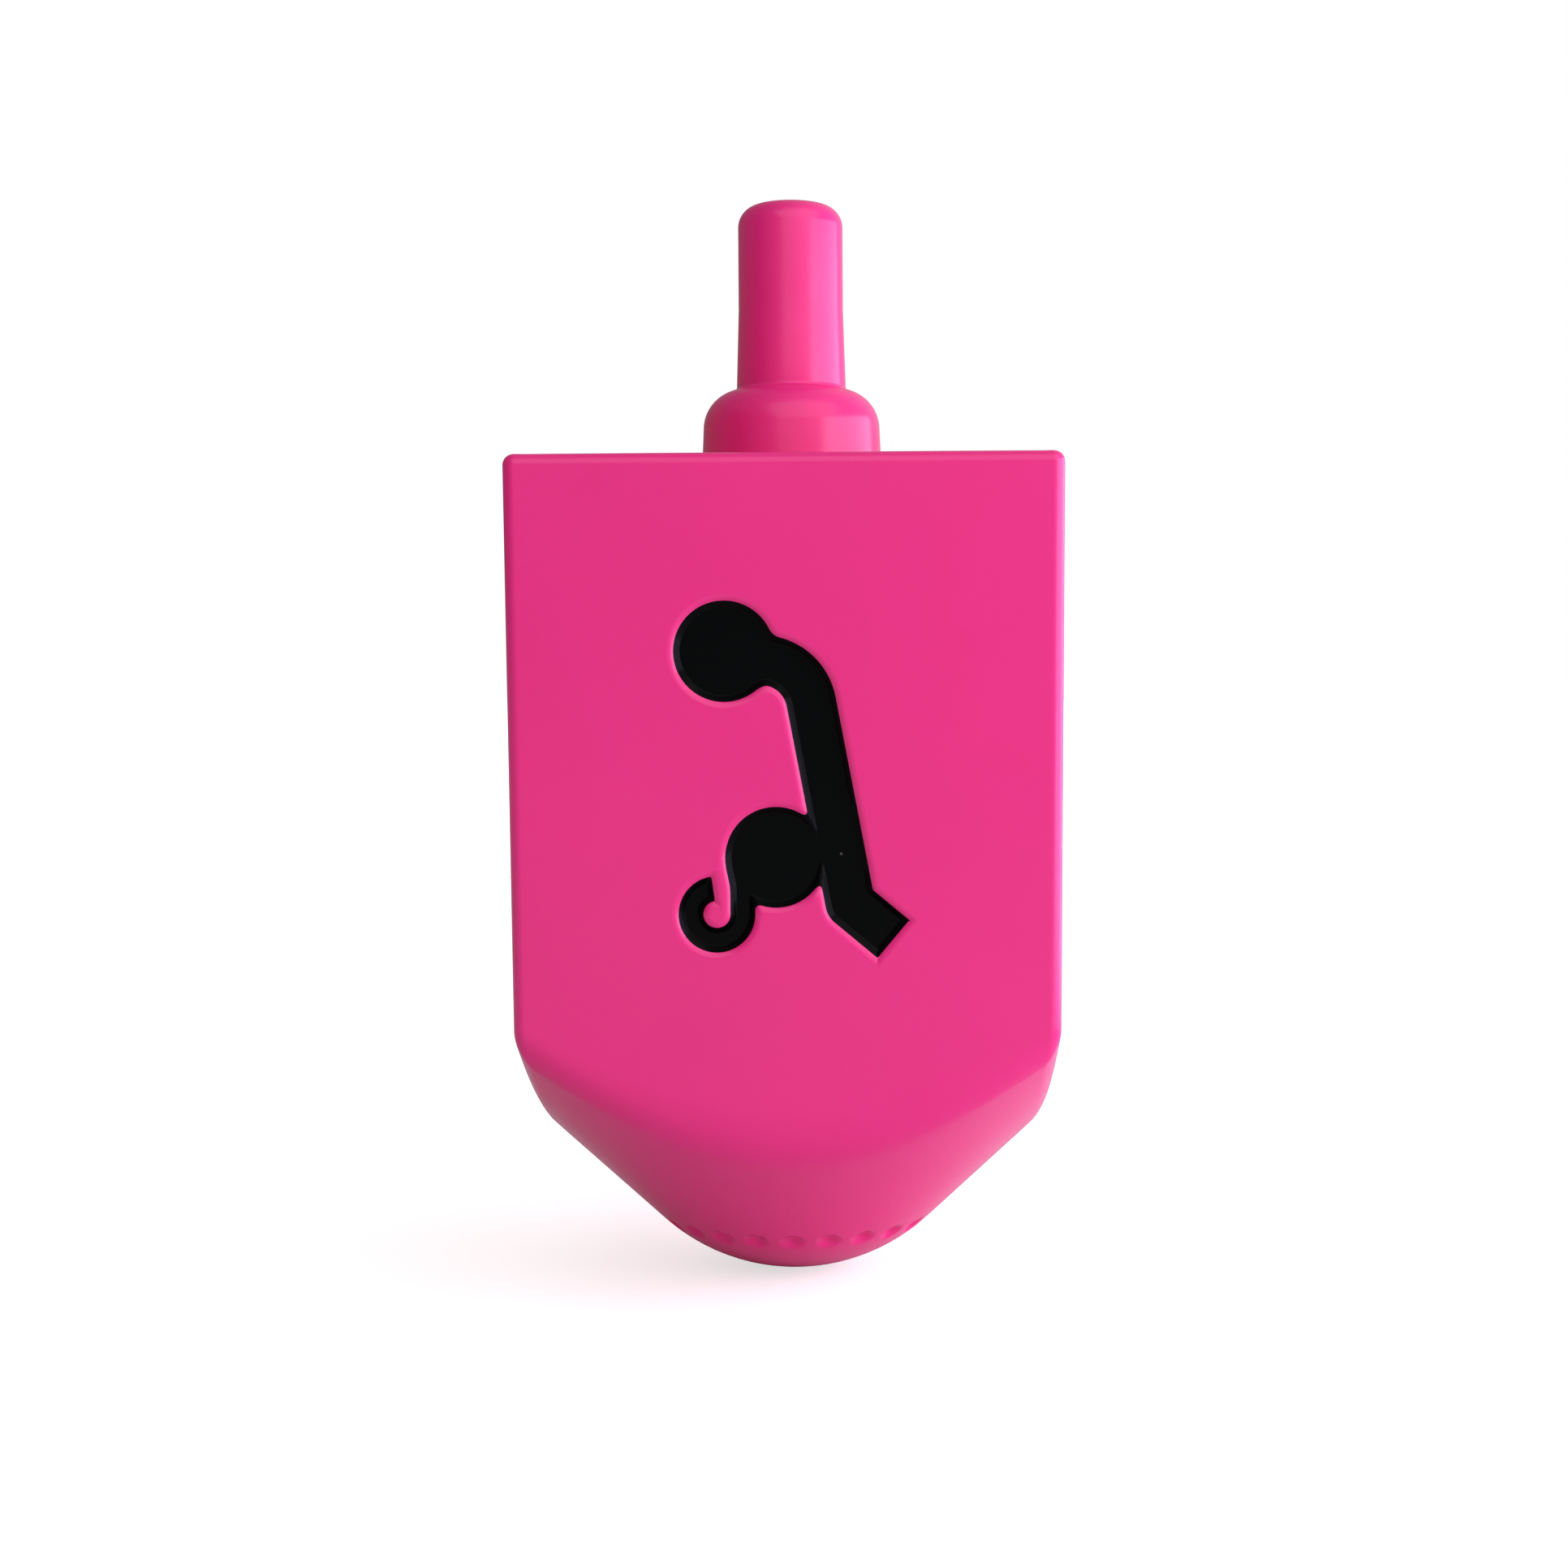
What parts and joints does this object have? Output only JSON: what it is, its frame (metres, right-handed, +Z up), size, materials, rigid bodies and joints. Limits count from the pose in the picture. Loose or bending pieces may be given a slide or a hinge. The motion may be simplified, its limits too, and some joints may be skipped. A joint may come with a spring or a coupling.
{
  "type": "dreidel",
  "caption": "Square spinning top with a conical dome and rounded tip, recessed black letters on its sides, and a finger stem on a push-in cap that opens the hollow body.",
  "frame": {"origin": "the spinning tip, at the middle of the underside", "axes": "+Z up along the stem, -Y towards the gimel side, +X towards the nun side"},
  "size_m": [0.035, 0.035, 0.0736],
  "materials": {
    "pink_plastic": "satin moulded plastic",
    "letter_black": "glossy paint filling"
  },
  "bodies": {
    "cup": {"body_shell": "pink_plastic", "letter_nun": "letter_black", "letter_gimel": "letter_black", "letter_hei": "letter_black", "letter_shin": "letter_black"},
    "cap": {"top_cap": "pink_plastic", "stem": "pink_plastic"}
  },
  "joints": [
    {"name": "cap_lift", "type": "slide", "parent": "cup", "child": "cap", "axis": [0, 0, 1], "range_m": [0, 0.045]}
  ]
}
